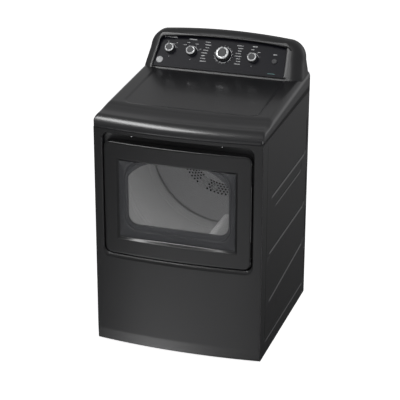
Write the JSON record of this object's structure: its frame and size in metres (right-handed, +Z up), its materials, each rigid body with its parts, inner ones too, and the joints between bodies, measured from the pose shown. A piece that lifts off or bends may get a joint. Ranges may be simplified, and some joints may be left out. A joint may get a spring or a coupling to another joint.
{
  "type": "clothes dryer",
  "caption": "Front-loading tumble dryer with a bowed front, windowed side-hung door, full-width grip gap and a sloping rear console with rotary knobs.",
  "frame": {"origin": "on the floor under the centre of the bounding box", "axes": "-Y is the front with the door, +X is the right side as seen from the front, +Z is up"},
  "size_m": [0.686, 0.724, 1.152],
  "materials": {
    "cabinet_paint": "dark graphite enamel, semi gloss",
    "top_paint": "dark graphite enamel, gloss",
    "console_plastic": "dark graphite, satin",
    "fascia_film": "near black, fine texture",
    "door_plastic": "dark graphite, semi gloss",
    "trim_plastic": "dark grey, satin",
    "door_glass": "tinted",
    "galvanised": "galvanised sheet",
    "drum_enamel": "light grey enamel, satin",
    "drum_steel": "grey sheet, satin",
    "white_plastic": "off-white moulding",
    "duct_plastic": "grey moulding",
    "knob_plastic": "grey, fine spark texture",
    "dark_rubber": "matt",
    "felt": "pressed felt",
    "bright_steel": "bright",
    "motor_paint": "dark enamel",
    "bearing_bronze": "sintered bronze",
    "heater_wire": "oxidised resistance wire",
    "filter_mesh": "woven screen in a moulded frame",
    "terminal_phenolic": "phenolic"
  },
  "bodies": {
    "cabinet": {"base_pan": "galvanised", "left_side_panel": "cabinet_paint", "right_side_panel": "cabinet_paint", "rear_panel": "galvanised", "front_panel": "cabinet_paint", "top_cover": "top_paint", "console_housing": "console_plastic", "console_back_cover": "galvanised", "control_fascia": "fascia_film", "front_bulkhead": "drum_enamel", "drum_glides": "white_plastic", "front_felt_seal": "felt", "moisture_sensor": "bright_steel", "lint_duct": "duct_plastic", "blower_housing": "duct_plastic", "exhaust_duct": "galvanised", "heater_housing": "galvanised", "heater_element": "heater_wire", "thermostats": "white_plastic", "rear_bearing": "bearing_bronze", "motor_housing": "motor_paint", "motor_bracket": "galvanised", "drive_belt": "dark_rubber", "idler_spring": "bright_steel", "cycle_timer": "white_plastic", "control_switches": "white_plastic", "terminal_block": "terminal_phenolic", "terminal_cover": "galvanised", "hinge_brackets": "galvanised", "door_catch": "white_plastic", "door_switch_body": "white_plastic", "cabinet_screws": "bright_steel"},
    "door": {"door_outer_frame": "door_plastic", "door_outer_glass": "door_glass", "door_window_trim": "trim_plastic", "door_inner_glass": "door_glass", "door_inner_panel": "trim_plastic", "door_gasket": "dark_rubber", "door_hinge_leaves": "galvanised", "door_strike": "bright_steel"},
    "drum": {"drum_shell": "drum_enamel", "drum_rear_wall": "drum_steel", "drum_baffles": "white_plastic", "drum_shaft": "bright_steel"},
    "motor_rotor": {"motor_shaft": "bright_steel", "motor_pulley": "bright_steel", "blower_wheel": "white_plastic"},
    "idler_arm": {"idler_arm": "galvanised"},
    "idler_pulley": {"idler_pulley": "white_plastic"},
    "cycle_knob": {"cycle_knob": "knob_plastic"},
    "temperature_knob": {"temperature_knob": "knob_plastic"},
    "dryness_knob": {"dryness_knob": "knob_plastic"},
    "signal_knob": {"signal_knob": "knob_plastic"},
    "start_button": {"start_button": "knob_plastic"},
    "door_switch_plunger": {"door_switch_plunger": "white_plastic"},
    "lint_filter": {"lint_filter": "filter_mesh"},
    "front_left_leg": {"front_left_leg": "dark_rubber"},
    "front_right_leg": {"front_right_leg": "dark_rubber"},
    "rear_left_leg": {"rear_left_leg": "dark_rubber"},
    "rear_right_leg": {"rear_right_leg": "dark_rubber"}
  },
  "joints": [
    {"name": "door_hinge", "type": "hinge", "parent": "cabinet", "child": "door", "pos_m": [0.29, -0.337, 0.6375], "axis": [0, 0, 1], "range_deg": [0, 100]},
    {"name": "drum_spin", "type": "hinge", "parent": "cabinet", "child": "drum", "pos_m": [0, 0, 0.635], "axis": [0, 1, 0], "continuous": true},
    {"name": "motor_spin", "type": "hinge", "parent": "cabinet", "child": "motor_rotor", "pos_m": [-0.2, 0, 0.15], "axis": [0, 1, 0], "continuous": true},
    {"name": "idler_arm_pivot", "type": "hinge", "parent": "cabinet", "child": "idler_arm", "pos_m": [-0.045, 0.12, 0.09], "axis": [0, 1, 0], "range_deg": [0, 10], "stiffness_Nm_per_rad": 2, "springref_deg": -20.05, "deforming": ["idler_spring"]},
    {"name": "idler_pulley_spin", "type": "hinge", "parent": "idler_arm", "child": "idler_pulley", "pos_m": [-0.105, 0.107, 0.12], "axis": [0, 1, 0], "continuous": true},
    {"name": "cycle_knob_turn", "type": "hinge", "parent": "cabinet", "child": "cycle_knob", "pos_m": [-0.003, 0.25771, 1.06782], "axis": [0, -0.766, 0.6428], "continuous": true},
    {"name": "temperature_knob_turn", "type": "hinge", "parent": "cabinet", "child": "temperature_knob", "pos_m": [-0.233, 0.26028, 1.07088], "axis": [0, -0.766, 0.6428], "range_deg": [-60, 60]},
    {"name": "dryness_knob_turn", "type": "hinge", "parent": "cabinet", "child": "dryness_knob", "pos_m": [-0.14, 0.25771, 1.06782], "axis": [0, -0.766, 0.6428], "range_deg": [-60, 60]},
    {"name": "signal_knob_turn", "type": "hinge", "parent": "cabinet", "child": "signal_knob", "pos_m": [0.123, 0.25514, 1.06475], "axis": [0, -0.766, 0.6428], "range_deg": [-60, 60]},
    {"name": "start_button_press", "type": "slide", "parent": "cabinet", "child": "start_button", "axis": [0, 0.766, -0.6428], "range_m": [0, 0.003], "stiffness_N_per_m": 400},
    {"name": "door_switch_press", "type": "slide", "parent": "cabinet", "child": "door_switch_plunger", "axis": [0, 1, 0], "range_m": [0, 0.003], "stiffness_N_per_m": 300},
    {"name": "lint_filter_lift", "type": "slide", "parent": "cabinet", "child": "lint_filter", "axis": [0, 0, 1], "range_m": [0, 0.2]},
    {"name": "front_left_leg_screw", "type": "slide", "parent": "cabinet", "child": "front_left_leg", "axis": [0, 0, -1], "range_m": [0, 0.02]},
    {"name": "front_right_leg_screw", "type": "slide", "parent": "cabinet", "child": "front_right_leg", "axis": [0, 0, -1], "range_m": [0, 0.02]},
    {"name": "rear_left_leg_screw", "type": "slide", "parent": "cabinet", "child": "rear_left_leg", "axis": [0, 0, -1], "range_m": [0, 0.02]},
    {"name": "rear_right_leg_screw", "type": "slide", "parent": "cabinet", "child": "rear_right_leg", "axis": [0, 0, -1], "range_m": [0, 0.02]}
  ],
  "couplings": [
    {"joint": "motor_spin", "follows": "drum_spin", "ratio": 30.239},
    {"joint": "idler_pulley_spin", "follows": "drum_spin", "ratio": 8.6699}
  ]
}
